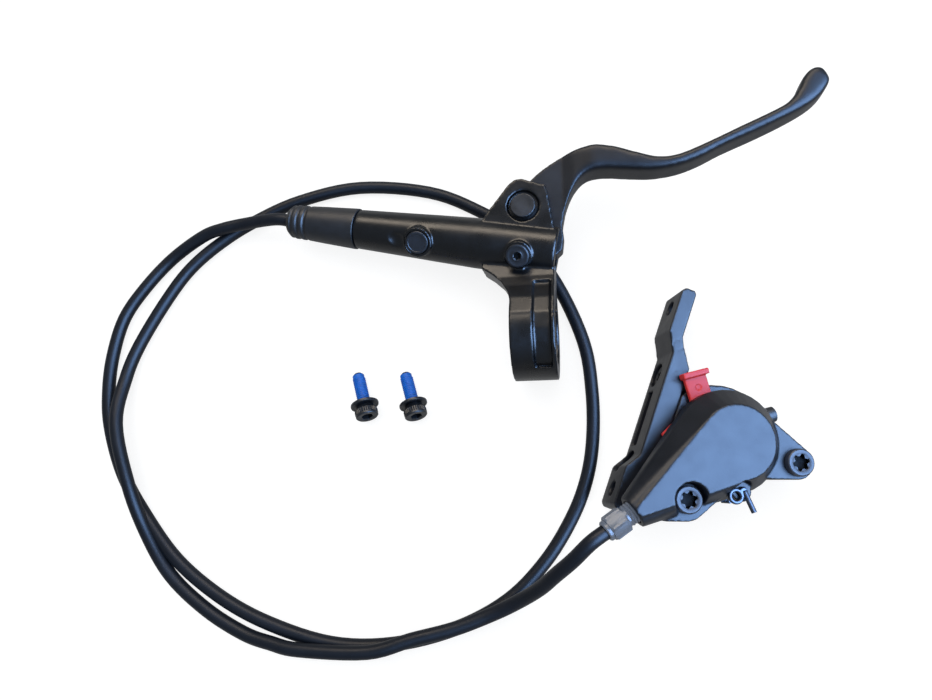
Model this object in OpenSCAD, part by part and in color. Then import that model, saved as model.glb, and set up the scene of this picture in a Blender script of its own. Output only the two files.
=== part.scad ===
// Hydraulic disc brake for a bicycle, laid out on a table: a flat-bar lever with
// its master cylinder, a 5 mm hose and a flat-mount two-piston caliper on its
// adapter plate. Millimetres, +Z up, table at z = 0.

/* [Placing on the table] */
// Left-right place of the lever's bar clamp
lever_x = -5; // [-10:0.1:2]
// Up-page place of the lever's bar clamp
lever_y = -9.3; // [-16:0.1:-5]
// Lift of the lever's right end, in degrees
lever_pitch = 5; // [3:0.5:6]
// Lift of the lever's blade side, in degrees
lever_roll = 5; // [4:0.5:7]
// Left-right place of the caliper's mounting face
caliper_x = 33.3; // [31:0.1:37]
// Up-page place of the caliper's mounting face
caliper_y = -31.2; // [-35:0.1:-30]
// Height of the caliper's mounting holes above the table
caliper_z = 11.1; // [10.6:0.1:13]
// Turn of the caliper on the table, in degrees
caliper_yaw = -20.5; // [-23:0.5:-18]
// Lean of the caliper to its right, in degrees
caliper_lean = 10; // [8:0.5:11]

/* [Bar clamp] */
// Radius of the handlebar
bar_r = 11.1; // [11:0.1:12.8]
// Wall of the clamp band
band_wall = 5.4; // [4.5:0.1:6]
// Width of the clamp band along the bar
band_w = 16; // [14:0.5:18]
// Depth of the groove in the band's outer face
groove_depth = 1.4; // [0.8:0.1:2]
// Width of that groove
groove_w = 6.2; // [5:0.1:7]
// Width of the slit that the clamp bolt closes
slit_w = 1.6; // [1.2:0.1:2]
// Thread radius of the clamp bolt
clamp_bolt_r = 2.5; // [2:0.1:2.6]

/* [Master cylinder] */
// Angle between the cylinder and the handlebar, in degrees
bore_angle = 11; // [9:0.5:13]
// Length of the cylinder housing
body_l = 78.5; // [76:0.5:84]
// Radius of the housing at its lever end
body_r = 9.5; // [9.2:0.1:10]
// Radius of the housing at its hose end
body_tip_r = 7.6; // [7.2:0.1:8]
// Radius of the master bore
master_r = 5.5; // [5:0.1:5.6]
// Radial running clearance of the pistons and the pivot
run_gap = 0.05; // [0.02:0.01:0.09]
// Length of the master piston
piston_l = 26; // [24:0.5:28]
// Tilt of the bleed port and the reservoir plug towards the bar, in degrees
port_tilt = 30; // [24:1:34]
// Radius of the reservoir plug
plug_r = 4.3; // [4:0.1:4.6]
// Radius of the bleed screw's head
bleed_head_r = 4.3; // [4:0.1:4.8]

/* [Lever blade] */
// Radius of the pivot pin
pin_r = 3; // [2.5:0.1:3.2]
// Wall of the pivot bushes
bush_wall = 1; // [0.8:0.1:1.2]
// Thickness of the blade's hub
hub_t = 7.2; // [6.6:0.1:7.6]
// Side gap between the hub and each fork plate
hub_gap = 0.15; // [0.1:0.01:0.25]
// Thickness of each fork plate
fork_t = 3.3; // [3:0.1:3.8]
// Height of the blade where the fingers pull
blade_h = 12.4; // [11:0.2:13.4]
// Thickness of the blade's front wall
blade_wall = 2.2; // [1.8:0.1:2.6]

/* [Hose] */
// Outer radius of the hose
hose_r = 2.5; // [2.4:0.05:2.55]
// Length of the rubber boot
boot_l = 29; // [27:0.5:32]
// Width across the flats of the caliper's hose nut
nut_flats = 8; // [7:0.5:9]
// Length of that nut's hexagon
nut_l = 8.9; // [8:0.1:11]

/* [Caliper] */
// Radius of the wheel pistons
wheel_piston_r = 11; // [10:0.1:11.5]
// Half height of the slot for the rotor
rotor_slot = 1.7; // [1.5:0.1:1.9]
// Radius of the rotor, with its running room
rotor_r = 71.5; // [71:0.5:73]
// Height of the outer half above the rotor's mid-plane
outer_h = 16; // [15.5:0.5:17]
// Height of the ledge that the body bolts seat on
ledge_h = 10.4; // [10:0.1:11]
// Depth of the inner half below the rotor's mid-plane
inner_h = 13.8; // [13.5:0.1:14.2]
// Half spacing of the two body bolts along the rotor
bolt_half = 20.1; // [19:0.1:20.5]
// Distance of the body bolts from the pistons' axis, away from the rotor
bolt_drop = 13.2; // [12.5:0.1:14]
// Radius of the body bolts' heads
bolt_head_r = 4.6; // [4.2:0.1:4.8]
// Thickness of a brake pad's backing plate
pad_plate_t = 1.8; // [1.6:0.1:2]
// Thickness of a brake pad's lining
pad_lining_t = 2.4; // [2:0.1:2.6]
// Half thickness of the red pad spacer
spacer_half = 1; // [0.8:0.05:1]
// Travel left to each pad beside the spacer
pad_travel = 0.4; // [0.3:0.05:0.5]

/* [Adapter plate] */
// Spacing of the two fork bolts
fork_spacing = 70; // [70:1:70]
// Thickness of the plate's ends
plate_t = 5.5; // [5:0.1:6]
// Width of the plate
plate_w = 17; // [16:0.5:18]
// Depth of the relief in the middle of the mounting face
relief = 3.5; // [3:0.1:4]
// Thickness of the middle of the plate, from the mounting face
bridge_t = 11; // [10.5:0.1:12]
// Spacing of the bolts that hold the caliper to the plate
caliper_spacing = 34; // [34:1:34]

/* [Loose mounting bolts] */
// Thread radius of the mounting bolts
mount_bolt_r = 2.5; // [2.4:0.1:2.6]
// Threaded length of the mounting bolts
mount_bolt_l = 13; // [12:1:18]
// Radius of their washers
washer_r = 5.4; // [5:0.1:6]

/* [Hidden] */
$fn = 48;
eps = 0.01;
soft = 32;

// Clamp band
band_r = bar_r + band_wall;
band_x0 = -7.5;
lever_z = band_r*cos(lever_pitch) + (band_w/2 + 1)*sin(lever_pitch);
slit_angle = -25;
ear_r = band_r + 2.4;
ear_half = 4.6;
ear_t = 4.6;

// Cylinder: its lever end in the clamp's frame
end_x = 9.6;
end_y = 30.8;
mouth = 11;
ring_w = 1;
piston_at = mouth + ring_w + 0.3;
front_wall = 7.2;
seal_w = 2;
land_l = 6;
rod_r = 2.5;
rod_from = 5.2;
waist_r = 3.2;
nose_r = 2.4;
thread_r = 4;
thread_l = 9;
olive_l = 4;
bore_depth = body_l - thread_l - olive_l - front_wall;

// Blade pivot in the cylinder's plane
pivot_x = -14.7;
pivot_y = 14.2;
fork_in = hub_t/2 + hub_gap;
fork_top = fork_in + fork_t;
head_sink = 1.4;
cap_r = 4.5;
recess_r = 5.9;

// Ports
bleed_s = 13.1;
plug_s = 51.5;
boss_top = 10.1;

// Caliper head
head_x = 28;
head_y = -8;
head_angle = 35;
head_z = plate_w/2 + rotor_slot + 0.2;
drum_r = 17.6;
face_r = 12.3;
face_h = 6;
face_at = [-0.5, -0.5];
bolt_mid = -1.1;
bolt_skew = 0.95;
port_angle = 20;
port_x = -39.7;
port_y = -13.4;
port_z = outer_h - 5.9;
port_r = 5.6;
axle_x = -2.4;
axle_y = -16.4;
passage_x = -27;
passage_y = -13.6;
axle_r = 1.25;
eye_at = [-2.9, -0.7];
pocket_w = 26;
pocket_h = 6.4;
thread_gap = 0.1;
nipple_l = 7.6;
lining_from = spacer_half + pad_travel;
plate_from = lining_from + pad_lining_t;
piston_from = plate_from + pad_plate_t;
spring_z = plate_from - pad_travel;
outer_bore = outer_h - 3;
inner_bore = inner_h - 1.4;
seal_back = 3;
rotor_y = 61;

// Adapter plate
mark_at = [[4.6, 20.2], [7.6, 9.6]];
lug_z = -3;
lug_r = 4.9;
lug_mid = -7;

// Hose route, from the boot to the caliper's nut
ROUTE = [[-121.7, 43.7, 8.6], [-132.2, 42.2, 7.6], [-141.2, 39.7, 6], [-155.2, 31.7, 2.5],
    [-165.7, 19.2, 2.5], [-173.2, 6.2, 2.5], [-176.2, -9.3, 2.5], [-176.2, -23.8, 2.5],
    [-173.7, -38.3, 2.5], [-166.2, -56.8, 2.5], [-155.2, -72.8, 2.5], [-140.7, -89.3, 2.5],
    [-122.7, -102.3, 2.5], [-103.7, -111.3, 2.5], [-80.2, -117.8, 2.5], [-57.7, -117.8, 2.5],
    [-35.2, -112.3, 2.5], [-16.7, -102.8, 2.5], [-3.2, -89.8, 2.5], [6.8, -74.8, 2.5],
    [12.8, -60.8, 2.5], [15.8, -45.8, 2.5], [16.3, -27.3, 2.5], [13.8, -7.8, 2.5],
    [4.3, 15.7, 2.5], [-9.2, 35.7, 2.5], [-25.7, 47.7, 2.5], [-46.7, 57.2, 2.5],
    [-76.2, 60.7, 2.5], [-101.7, 55.7, 2.5], [-120.7, 47.2, 2.5], [-134.7, 38.2, 2.5],
    [-146.7, 27.2, 2.5], [-155.7, 13.7, 2.5], [-165.2, -5.3, 2.6], [-168.7, -19.8, 4],
    [-168.2, -38.3, 7.8], [-160.7, -61.3, 7.4], [-153.2, -79.3, 4], [-142.7, -94.8, 2.5],
    [-127.7, -106.8, 2.5], [-112.7, -114.8, 2.8], [-101.7, -117.8, 4.4], [-90.7, -119.6, 6.2],
    [-65.7, -119.8, 7.7], [-50, -115.5, 7.8], [-35, -111.7, 7.8], [-21, -106.3, 9],
    [-12, -101.7, 13.2], [-5, -97.1, 19.4], [0, -92.6, 24.6], [5.5, -87.8, 29.2]];
hose_sides = 10;

// Moves a part from the clamp's own frame to the table
module place_lever() {
    translate([lever_x, lever_y, lever_z])
        rotate([lever_roll, -lever_pitch, 0]) children();
}

// The plane of the cylinder's axis: x towards the lever end, y towards the blade
module on_bore_plane() {
    place_lever() translate([end_x, end_y, 0]) rotate([0, 0, -bore_angle]) children();
}

// Along the cylinder's axis, with z the distance from the lever end
module along_bore() {
    on_bore_plane() rotate([0, -90, 0]) children();
}

// A port on the cylinder: z outwards from the axis, at distance s from the lever end
module at_port(s) {
    on_bore_plane() translate([-s, 0, 0]) rotate([port_tilt, 0, 0]) children();
}

// Blade pivot, z along the pin
module at_pivot() {
    on_bore_plane() translate([pivot_x, pivot_y, 0]) children();
}

// Place of a body bolt in the head's frame: side -1 by the hose, 1 at the far end
function bolt_at(side) = [bolt_mid + side*bolt_half, side*bolt_skew - bolt_drop];

// Moves a part from the mounting face's frame to the table
module place_caliper() {
    translate([caliper_x, caliper_y, caliper_z])
        rotate([0, caliper_lean, caliper_yaw]) children();
}

// Caliper head: z along the pistons, y towards the middle of the rotor
module at_head() {
    place_caliper() translate([head_x, head_y, head_z]) rotate([0, 0, head_angle]) children();
}

// The hose port of the caliper: z from the nut's face out along the hose
module at_hose_port() {
    at_head() translate([port_x, port_y, port_z]) rotate([0, -90, port_angle]) children();
}

// Places in the table's frame, for the ends of the hose
function turn_x(p, a) = [p.x, p.y*cos(a) - p.z*sin(a), p.y*sin(a) + p.z*cos(a)];
function turn_y(p, a) = [p.x*cos(a) + p.z*sin(a), p.y, -p.x*sin(a) + p.z*cos(a)];
function turn_z(p, a) = [p.x*cos(a) - p.y*sin(a), p.x*sin(a) + p.y*cos(a), p.z];
function from_plane(p) = [end_x + p.x*cos(bore_angle) + p.y*sin(bore_angle),
    end_y - p.x*sin(bore_angle) + p.y*cos(bore_angle)];
function from_lever(p) = [lever_x, lever_y, lever_z]
    + turn_y(turn_x([end_x, end_y, 0] + turn_z(p, -bore_angle), lever_roll), -lever_pitch);
function from_head(p) = [caliper_x, caliper_y, caliper_z]
    + turn_z(turn_y([head_x, head_y, head_z] + turn_z(p, head_angle), caliper_lean), caliper_yaw);
function port_out(d) = [port_x - d*cos(port_angle), port_y - d*sin(port_angle), port_z];

// Smooth curve through a list of points
function clamp_index(v, i) = v[max(0, min(len(v) - 1, i))];
function blend(a, b, c, d, t) = 0.5*((2*b) + (c - a)*t + (2*a - 5*b + 4*c - d)*t*t
    + (3*b - a - 3*c + d)*t*t*t);
function curve(v, steps) = [for (i = [0:len(v) - 2]) for (k = [0:steps - 1])
    blend(clamp_index(v, i - 1), v[i], v[i + 1], clamp_index(v, i + 2), k/steps)];
function unit(v) = v/norm(v);

// Tube of even radius swept along points; its end faces follow first and last
module tube_along(path, first, last, r, sides) {
    n = len(path);
    way = [for (i = [0:n - 1]) i == 0 ? first : i == n - 1 ? last
        : unit(path[i + 1] - path[i - 1])];
    rings = [for (i = [0:n - 1])
        let (side = unit(cross([0, 0, 1], way[i])), rise = cross(way[i], side))
        for (k = [0:sides - 1]) path[i] + r*(side*cos(360*k/sides) + rise*sin(360*k/sides))];
    walls = [for (i = [0:n - 2]) for (k = [0:sides - 1])
        let (a = i*sides + k, b = i*sides + (k + 1)%sides)
        each [[a, b + sides, b], [a, a + sides, b + sides]]];
    caps = [[for (k = [0:sides - 1]) k], [for (k = [sides - 1:-1:0]) (n - 1)*sides + k]];
    polyhedron(rings, concat(walls, caps), convexity = 10);
}

// Ring of rectangular section round z
module ring(r_in, r_out, h) {
    difference() {
        cylinder(r = r_out, h = h);
        translate([0, 0, -1]) cylinder(r = r_in, h = h + 2);
    }
}

// Ring of round section round z
module o_ring(r_mid, r_cord) {
    rotate_extrude() translate([r_mid, 0]) circle(r = r_cord, $fn = 24);
}

// Coil spring round z, between two heights
module coil(r_mid, r_wire, h, turns) {
    steps = 12;
    n = turns*steps;
    sides = 6;
    rings = [for (i = [0:n]) let (a = 360*i/steps, z = r_wire + (h - 2*r_wire)*i/n)
        for (k = [0:sides - 1]) let (c = r_mid + r_wire*cos(360*k/sides))
            [c*cos(a), c*sin(a), z + r_wire*sin(360*k/sides)]];
    walls = [for (i = [0:n - 1]) for (k = [0:sides - 1])
        let (a = i*sides + k, b = i*sides + (k + 1)%sides)
        each [[a, b, b + sides], [a, b + sides, a + sides]]];
    caps = [[for (k = [sides - 1:-1:0]) k], [for (k = [0:sides - 1]) n*sides + k]];
    polyhedron(rings, concat(walls, caps), convexity = 6);
}

// Hexagonal bar round z, by its width across the flats
module hexagon(flats, h) {
    cylinder(r = flats/2/cos(30), h = h, $fn = 6);
}

// Socket-head bolt: head above z = 0, shank below
module socket_bolt(r, l, head_r, head_h, key) {
    difference() {
        union() {
            translate([0, 0, -l]) cylinder(r = r, h = l + eps);
            cylinder(r = head_r, h = head_h);
        }
        translate([0, 0, head_h*0.35]) hexagon(key, head_h);
    }
}

// Six-lobed star recess
module star_socket(r, h) {
    cylinder(r = r*0.68, h = h, $fn = 24);
    for (k = [0:5]) rotate([0, 0, 60*k]) translate([r*0.76, 0, 0])
        cylinder(r = r*0.24, h = h, $fn = 12);
}

// Lever housing: cylinder, pivot fork, stem and clamp band in one casting
fork_outline = [[-30, 5], [-27.4, 10.6], [-24, 17], [-21.6, 21.6], [-19.6, 23.8],
    [-17, 24.6], [-9.6, 23.2], [-8, 23.4], [-6.6, 20.4], [-1.2, 5]];

module housing_form() {
    along_bore() rotate_extrude() polygon([[0, 0], [body_r - 0.5, 0], [body_r, 0.5],
        [body_r, 30], [body_r - 0.6, 46], [body_r - 1.2, 60], [body_tip_r, body_l - 1],
        [body_tip_r - 0.4, body_l], [0, body_l]]);
    on_bore_plane() translate([0, 0, -fork_top])
        linear_extrude(2*fork_top) polygon(fork_outline);
    at_port(plug_s) cylinder(r = plug_r + 1.3, h = boss_top);
    at_port(bleed_s) cylinder(r = bleed_head_r + 0.7, h = boss_top);
    place_lever() translate([band_x0, 0, 0]) rotate([0, 90, 0]) cylinder(r = band_r, h = band_w);
    place_lever() stem();
    place_lever() clamp_ears(ear_half);
}

// Stem between the cylinder and the band, widening to the left
module stem() {
    intersection() {
        translate([-20, 0, 0]) rotate([90, 0, 90]) linear_extrude(40)
            polygon([[-1, band_r], [6, band_r - 0.9], [12, 12.8], [17, 8.8], [21, 6.4], [27, 4.4],
                [30, 0], [27, -8], [12, -10.5], [8, -4], [-1, 0]]);
        translate([0, 0, -20]) linear_extrude(40)
            polygon([[band_x0, -2], [band_x0 + 0.4, 10], [band_x0 - 0.8, 14.6], [band_x0 - 3.6, 19.4],
                [band_x0 - 7, 22.6], [band_x0 - 11, 25.4], [band_x0 - 10, 34],
                [band_x0 + band_w, 30], [band_x0 + band_w, -2]]);
    }
}

module clamp_ears(half) {
    rotate([slit_angle, 0, 0]) translate([band_x0 + band_w/2, ear_r, 0]) {
        translate([-half, -6, -ear_t - slit_w/2]) cube([2*half, 6, 2*ear_t + slit_w]);
        translate([0, 0, -ear_t - slit_w/2]) cylinder(r = half, h = 2*ear_t + slit_w);
    }
}

module lever_body() {
    color("#1b1c20") difference() {
        housing_form();
        // Bar and band
        place_lever() translate([band_x0 - 12, 0, 0]) rotate([0, 90, 0])
            cylinder(r = bar_r, h = band_w + 24);
        place_lever() rotate([slit_angle, 0, 0])
            translate([band_x0 - 12, bar_r - 2, -slit_w/2]) cube([band_w + 24, 14.4, slit_w]);
        place_lever() rotate([slit_angle, 0, 0]) translate([band_x0 + band_w/2, ear_r, 0]) {
            translate([0, 0, -12]) cylinder(r = clamp_bolt_r + thread_gap, h = 18);
            translate([0, 0, -ear_t - slit_w/2 - 6]) cylinder(r = 4.4, h = 6);
        }
        place_lever() band_groove();
        // Master bore, hose thread and mouth
        along_bore() translate([0, 0, -1]) cylinder(r = master_r, h = bore_depth + 1);
        along_bore() translate([0, 0, bore_depth - 1]) cylinder(r = 1.4, h = front_wall + 2);
        along_bore() translate([0, 0, body_l - thread_l - olive_l])
            cylinder(r = thread_r + thread_gap, h = thread_l + olive_l + 1);
        along_bore() translate([0, 0, mouth]) ring(master_r - 1, master_r + 0.6, ring_w);
        // Room for the blade's hub and its short arm
        on_bore_plane() translate([-mouth + 0.4, -6.6, -fork_in]) cube([20, 40, 2*fork_in]);
        on_bore_plane() translate([-40, 10, -fork_in]) cube([50, 30, 2*fork_in]);
        on_bore_plane() translate([-mouth - 0.9, 6.6, -fork_in]) cube([3, 4, 2*fork_in]);
        at_pivot() translate([0, 0, -fork_in]) cylinder(r = hub_r + 0.4, h = 2*fork_in);
        at_pivot() translate([0, 0, -20]) cylinder(r = pin_r, h = 40);
        at_pivot() translate([0, 0, fork_top - head_sink]) cylinder(r = recess_r, h = 4);
        // Ports, gallery and the small hole that feeds the bore
        at_port(bleed_s) translate([0, 0, 7]) cylinder(r = 2.1, h = 6);
        at_port(plug_s) translate([0, 0, boss_top - 2.4]) cylinder(r = plug_r + thread_gap, h = 6);
        at_port(plug_s) translate([0, 0, 4]) cylinder(r = 0.8, h = 6);
        at_port(plug_s + 9) translate([0, 0, 12.5]) sphere(r = 5.4);
    }
}

module band_groove() {
    groove_x = band_x0 + band_w - groove_w - 1.5;
    intersection() {
        translate([groove_x, 0, 0]) rotate([0, 90, 0])
            ring(band_r - groove_depth, band_r + 3, groove_w);
        translate([groove_x - 1, -13, 2]) cube([groove_w + 2, 14, 20]);
    }
    translate([groove_x, 0, 0]) rotate([90, 0, 90]) linear_extrude(groove_w)
        polygon([[0, band_r - groove_depth], [6, band_r - 0.9 - groove_depth],
            [12, 12.8 - groove_depth], [17, 8.8 - groove_depth], [18.6, 8 - groove_depth],
            [18.6, 20], [0, 20]]);
}

// Outline of the blade, in the clamp's frame: front edge out to the tip, then back
blade_front = [[-2, 55.6], [3, 60.6], [10, 65.2], [17, 68.3], [25, 69.4], [33, 67.6], [41, 64.5],
    [48, 62.5], [55, 63], [65, 66.6], [76, 71.2], [86, 75.3], [93, 78.7], [97, 83.4],
    [99.6, 88.6], [103, 91.4], [106.4, 90.8]];
blade_back = [[107.6, 86.6], [103.8, 81.2], [97, 76.6], [83, 70.4], [70, 65.4],
    [62, 61.7], [54, 59.2], [45, 58.4], [37, 59.2], [28, 60.4], [22, 59.8], [17.8, 56.4],
    [14.6, 50.6], [12.4, 44]];
blade_arm = [[0.4, 9.6], [1.6, 5.6], [1.9, 0.6], [0.2, -1.8], [-2.6, -2.2], [-4.4, -1.6],
    [-4.9, -0.4], [-4.9, 3.6], [-6.8, 8]];
hub_r = 7.2;
blade_hub = concat([for (p = blade_arm) from_plane(p)],
    [for (a = [-50:-25:-275]) from_plane([pivot_x + hub_r*cos(a), pivot_y + hub_r*sin(a)])]);

module brake_lever() {
    color("#17181b") difference() {
        place_lever() intersection() {
            translate([0, 0, -10]) linear_extrude(20)
                polygon(concat(curve(blade_front, 3), curve(blade_back, 3), blade_hub));
            translate([0, 100, 0]) rotate([90, 0, 0]) linear_extrude(80)
                polygon([[-20, -hub_t/2], [12.5, -hub_t/2], [17, -5], [24, -blade_h/2],
                    [90, -blade_h/2 + 0.6], [112, -4.4], [112, 4.4], [90, blade_h/2 - 0.6],
                    [24, blade_h/2], [17, 5], [12.5, hub_t/2], [-20, hub_t/2]]);
        }
        at_pivot() translate([0, 0, -10]) cylinder(r = pin_r + bush_wall + run_gap, h = 20);
        // The finger side is hollowed from below, as the casting is
        place_lever() translate([0, 0, -blade_h]) linear_extrude(blade_h - 0.6)
            polygon(curve([[24, 66.2], [31, 65.2], [40, 62.4], [48, 60.8], [56, 61.6],
                [56, 61.2], [48, 60.4], [40, 60.8], [31, 62.4], [25, 62.6], [24, 66.2]], 2));
    }
}

module pivot_pin() {
    color("#24262b") at_pivot() {
        translate([0, 0, -fork_top - 1.6]) cylinder(r = pin_r, h = 2*fork_top + 1.6 - head_sink);
        translate([0, 0, fork_top - head_sink]) cylinder(r = cap_r, h = head_sink + 0.5);
    }
}

module pivot_bushes() {
    color("#b98b45") at_pivot() for (side = [0, 1]) mirror([0, 0, side])
        translate([0, 0, 0.2]) ring(pin_r + run_gap, pin_r + bush_wall + run_gap, hub_t/2 - 0.2);
}

module pivot_clip() {
    color("#8d9096") at_pivot() translate([0, 0, -fork_top - 1]) difference() {
        ring(pin_r + 0.02, pin_r + 2, 0.8);
        translate([0, -1.8, -1]) cube([10, 3.6, 3]);
    }
}

module master_piston() {
    nose_l = 3;
    groove_r = master_r - 1.8;
    fit_r = master_r - run_gap;
    back = piston_at + piston_l - nose_l;
    color("#c9a45a") along_bore() difference() {
        rotate_extrude() polygon([[0, piston_at], [fit_r, piston_at], [fit_r, piston_at + 2],
            [groove_r, piston_at + 2], [groove_r, piston_at + 2 + seal_w],
            [fit_r, piston_at + 2 + seal_w], [fit_r, piston_at + land_l],
            [waist_r, piston_at + land_l], [waist_r, back - land_l],
            [fit_r, back - land_l], [fit_r, back - 2 - seal_w], [groove_r, back - 2 - seal_w],
            [groove_r, back - 2], [fit_r, back - 2], [fit_r, back], [nose_r, back],
            [nose_r, back + nose_l], [0, back + nose_l]]);
        translate([0, 0, piston_at - 1]) cylinder(r = rod_r + run_gap, h = 5);
    }
}

module push_rod() {
    color("#9da1a8") along_bore() {
        translate([0, 0, rod_from + rod_r]) cylinder(r = rod_r, h = piston_at + 4 - rod_from - rod_r);
        translate([0, 0, rod_from + rod_r]) sphere(r = rod_r);
    }
}

module cup_seal(s) {
    color("#141414") along_bore() translate([0, 0, s])
        ring(master_r - 1.8, master_r - run_gap/2, seal_w);
}

module primary_seal() { cup_seal(piston_at + piston_l - 3 - 2 - seal_w); }
module secondary_seal() { cup_seal(piston_at + 2); }

module return_spring() {
    color("#aeb2b8") along_bore() translate([0, 0, piston_at + piston_l - 3])
        coil(3.6, 0.5, bore_depth - piston_at - piston_l + 3, 6);
}

module retaining_ring() {
    color("#8d9096") along_bore() translate([0, 0, mouth]) difference() {
        ring(rod_r + 1, master_r + 0.6, ring_w);
        translate([0, -2, -1]) cube([10, 4, 4]);
    }
}

module bleed_screw() {
    color("#1d1f24") at_port(bleed_s) difference() {
        union() {
            translate([0, 0, 7]) cylinder(r = 2, h = boss_top - 7 + eps);
            translate([0, 0, boss_top + 0.5]) cylinder(r = bleed_head_r, h = 1.5);
            translate([0, 0, boss_top]) cylinder(r = 2.8, h = 0.6);
        }
        translate([0, 0, boss_top + 0.6]) hexagon(2.5, 4);
    }
}

module bleed_o_ring() {
    color("#0e0e0e") at_port(bleed_s) translate([0, 0, boss_top]) ring(2.9, 3.9, 0.5);
}

module reservoir_plug() {
    color("#15161a") at_port(plug_s) translate([0, 0, boss_top - 1.8]) cylinder(r = plug_r, h = 2.1);
}

module plug_seal() {
    color("#0e0e0e") at_port(plug_s) translate([0, 0, boss_top - 2.4]) cylinder(r = plug_r, h = 0.6);
}

module clamp_bolt() {
    color("#2a2c31") place_lever() rotate([slit_angle, 0, 0])
        translate([band_x0 + band_w/2, ear_r, -ear_t - slit_w/2]) rotate([180, 0, 0])
            socket_bolt(clamp_bolt_r, 2*ear_t + slit_w - 0.6, 4, 3, 4);
}

module hose_boot() {
    tip_r = 6.5;
    neck_r = hose_r + 0.05;
    color("#1a1a1c") along_bore() translate([0, 0, body_l]) difference() {
        rotate_extrude() polygon([[0, 0], [body_tip_r + 0.3, 0], [body_tip_r + 0.3, 1],
            [7.2, 14], [6.8, 20], [6.3, 20.4], [6.3, 21.2], [6.8, 21.6], [6.8, 22.8],
            [6.3, 23.2], [6.3, 24], [6.7, 24.4], [6.7, 25.6], [6.2, 26], [6.2, 26.8],
            [tip_r, 27.2], [tip_r - 0.2, boot_l - 1.6], [tip_r - 1.6, boot_l], [0, boot_l]]);
        translate([0, 0, -1]) cylinder(r = neck_r + 3, h = 10);
        translate([0, 0, 8]) cylinder(r = neck_r, h = boot_l);
    }
}

module lever_hose_nut() {
    color("#b9bcc2") along_bore() difference() {
        union() {
            translate([0, 0, body_l - thread_l]) cylinder(r = thread_r, h = thread_l + eps);
            translate([0, 0, body_l]) hexagon(nut_flats, 6);
        }
        translate([0, 0, body_l - thread_l - 1]) cylinder(r = hose_r + 0.1, h = 30);
    }
}

module lever_olive() {
    color("#c9a14d") along_bore() translate([0, 0, body_l - thread_l - olive_l])
        ring(hose_r + 0.05, thread_r - 0.2, olive_l);
}

module lever_barb() {
    color("#d0d3d8") along_bore() translate([0, 0, body_l - thread_l - olive_l])
        ring(0.7, hose_r + 0.05, 6);
}

module hose() {
    from = from_lever([-body_l - boot_l, 0, 0]);
    first = unit(from_lever([-body_l - boot_l - 1, 0, 0]) - from);
    to = from_head(port_out(nut_l + 2));
    last = unit(to - from_head(port_out(nut_l + 3)));
    points = concat([from, from + 7*first], ROUTE, [to - 6*last, to]);
    path = concat([for (i = [0:len(points) - 2]) if (i < 1 || norm(points[i + 1] - points[i]) < 15.5)
        each [points[i]] else each [points[i],
            blend(clamp_index(points, i - 1), points[i], points[i + 1],
                clamp_index(points, i + 2), 0.5)]], [to]);
    color("#202226") tube_along(path, first, last, hose_r, hose_sides);
}

// Caliper side of the hose
module caliper_hose_nut() {
    color("#b9bcc2") at_hose_port() difference() {
        union() {
            translate([0, 0, -6]) cylinder(r = thread_r, h = 8 + eps);
            translate([0, 0, 2]) hexagon(nut_flats, nut_l - 0.6);
            translate([0, 0, 2]) cylinder(r = nut_flats/2, h = nut_l);
        }
        translate([0, 0, -7]) cylinder(r = hose_r + 0.1, h = nut_l + 12);
    }
}

module caliper_olive() {
    color("#c9a14d") at_hose_port() translate([0, 0, -6 - olive_l])
        ring(hose_r + 0.05, thread_r - 0.2, olive_l);
}

module caliper_barb() {
    color("#d0d3d8") at_hose_port() translate([0, 0, -6 - olive_l])
        ring(0.7, hose_r + 0.05, 6);
}

module lobe(side, low, high) {
    hull() {
        translate([bolt_at(side).x, bolt_at(side).y, low])
            cylinder(r = side < 0 ? 7 : 5.6, h = high - low, $fn = soft);
        translate([side*6.4, -3, low]) cylinder(r = 11, h = high - low, $fn = soft);
        if (side < 0) translate([passage_x - 1, passage_y - 1, low])
            cylinder(r = 4.8, h = high - low, $fn = soft);
    }
}

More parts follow.
